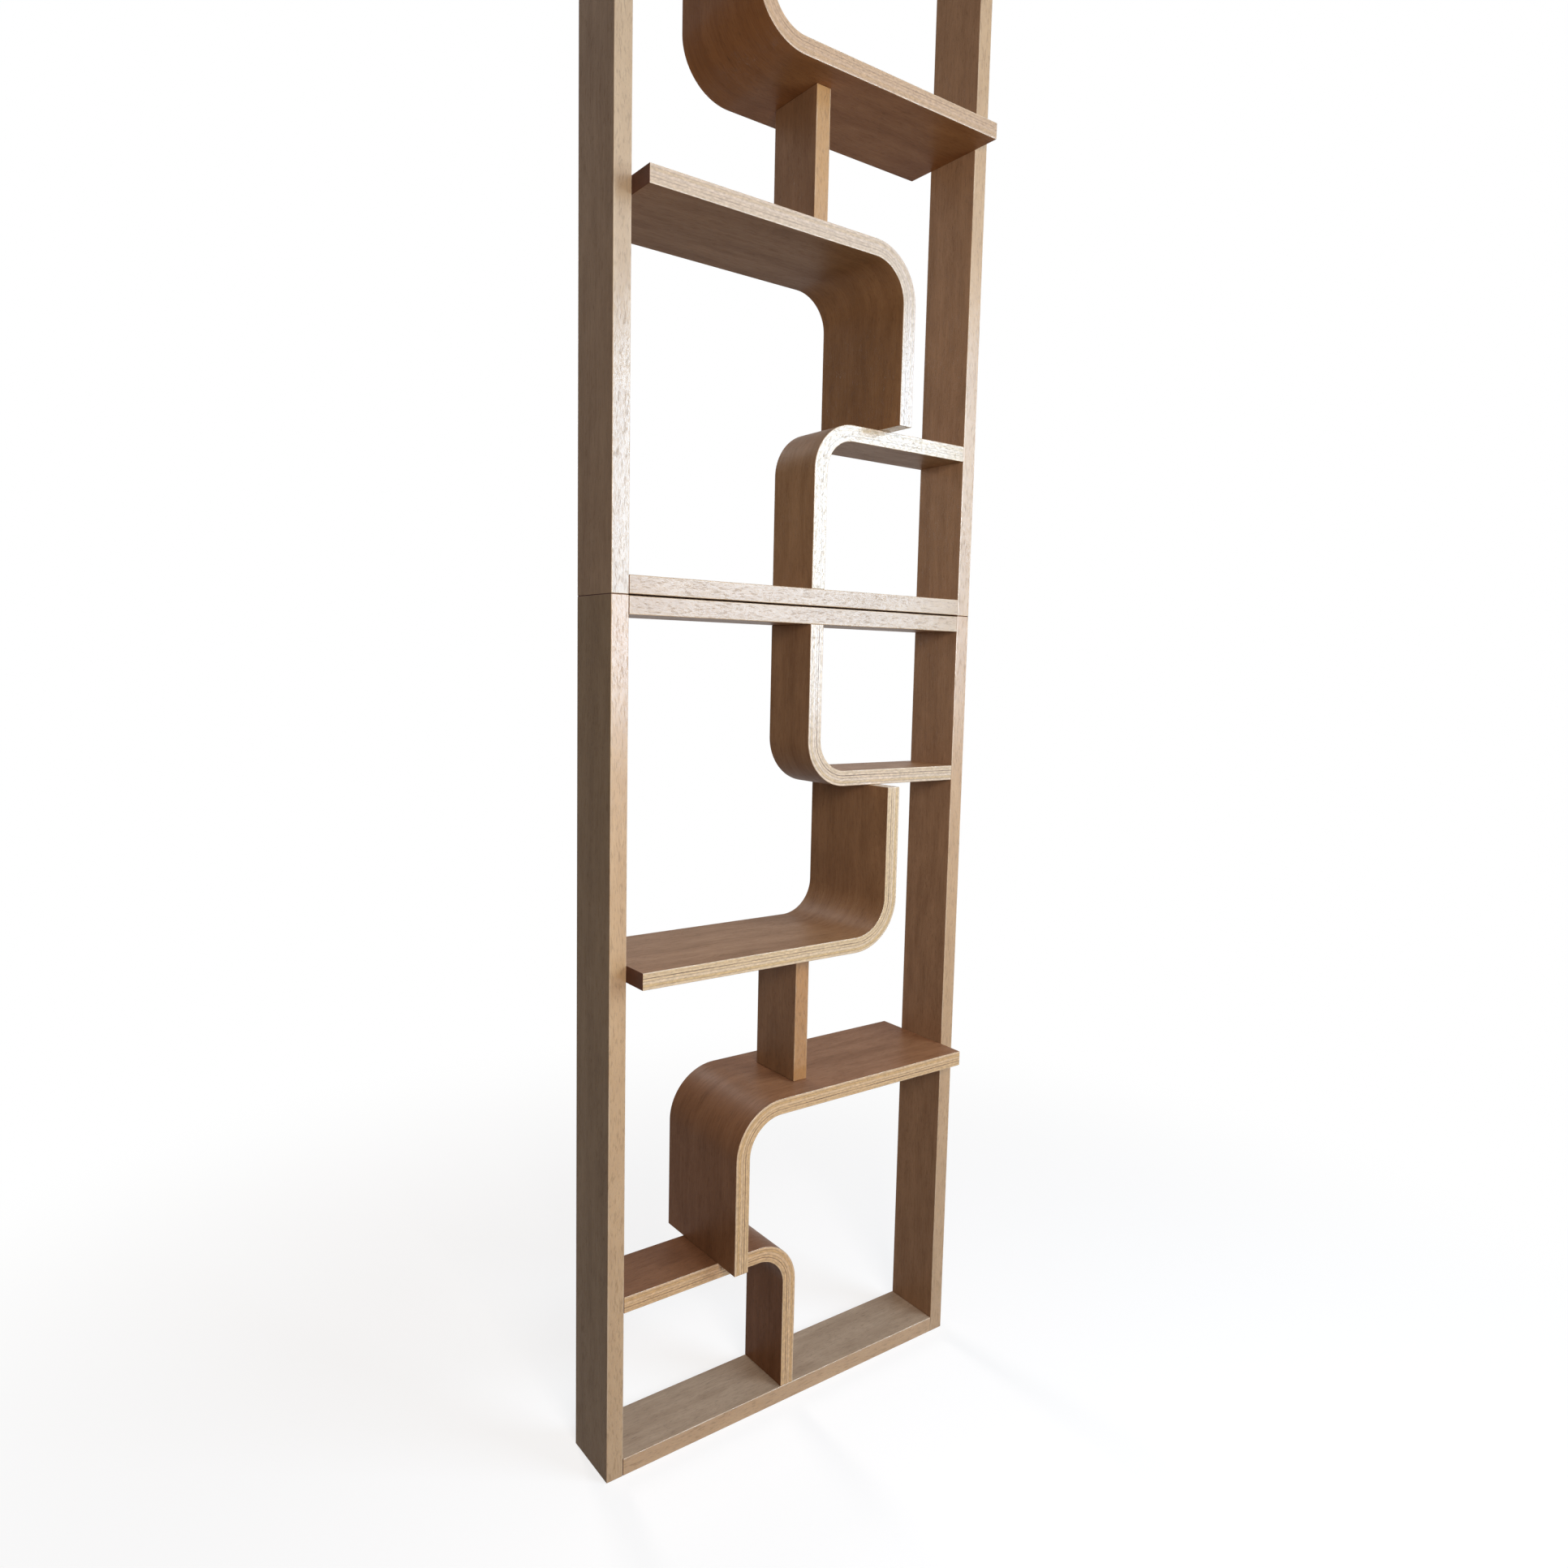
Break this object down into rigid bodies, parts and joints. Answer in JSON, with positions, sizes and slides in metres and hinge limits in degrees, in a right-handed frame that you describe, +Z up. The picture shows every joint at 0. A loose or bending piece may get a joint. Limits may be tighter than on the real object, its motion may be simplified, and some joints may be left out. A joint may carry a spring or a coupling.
{
  "type": "wall unit",
  "caption": "Tall open wall unit of stacked rectangular frames with curved bent-plywood shelves that turn into legs, for books and display.",
  "frame": {"origin": "on the floor, at the middle of the width and depth", "axes": "+X to the right, front faces -Y, +Z up"},
  "size_m": [0.66, 0.19, 2.5],
  "materials": {
    "veneered_board": "brown stained veneer, satin lacquer",
    "bent_ply": "brown stained veneer faces, clear lacquered pale ply edges",
    "pale_lipping": "clear satin lacquer",
    "dowel_wood": "raw beech"
  },
  "bodies": {
    "lower_module": {"lower_left_upright": "veneered_board", "lower_right_upright": "veneered_board", "lower_outer_rail": "veneered_board", "lower_seam_rail": "veneered_board", "lower_post": "veneered_board", "lower_outer_small_bend": "bent_ply", "lower_outer_wide_bend": "bent_ply", "lower_inner_wide_bend": "bent_ply", "lower_inner_small_bend": "bent_ply", "lower_left_upright_lippings": "pale_lipping", "lower_right_upright_lippings": "pale_lipping", "lower_outer_rail_lippings": "pale_lipping", "lower_seam_rail_lippings": "pale_lipping", "lower_post_lippings": "pale_lipping", "lower_frame_dowels": "dowel_wood", "lower_shelf_dowels": "dowel_wood", "lower_leg_dowels": "dowel_wood", "lower_post_dowels": "dowel_wood", "seam_pins": "dowel_wood"},
    "upper_module": {"upper_left_upright": "veneered_board", "upper_right_upright": "veneered_board", "upper_outer_rail": "veneered_board", "upper_seam_rail": "veneered_board", "upper_post": "veneered_board", "upper_outer_small_bend": "bent_ply", "upper_outer_wide_bend": "bent_ply", "upper_inner_wide_bend": "bent_ply", "upper_inner_small_bend": "bent_ply", "upper_left_upright_lippings": "pale_lipping", "upper_right_upright_lippings": "pale_lipping", "upper_outer_rail_lippings": "pale_lipping", "upper_seam_rail_lippings": "pale_lipping", "upper_post_lippings": "pale_lipping", "upper_frame_dowels": "dowel_wood", "upper_shelf_dowels": "dowel_wood", "upper_leg_dowels": "dowel_wood", "upper_post_dowels": "dowel_wood"}
  },
  "joints": [
    {"name": "upper_lift", "type": "slide", "parent": "lower_module", "child": "upper_module", "axis": [0, 0, 1], "range_m": [0, 0.1]}
  ]
}
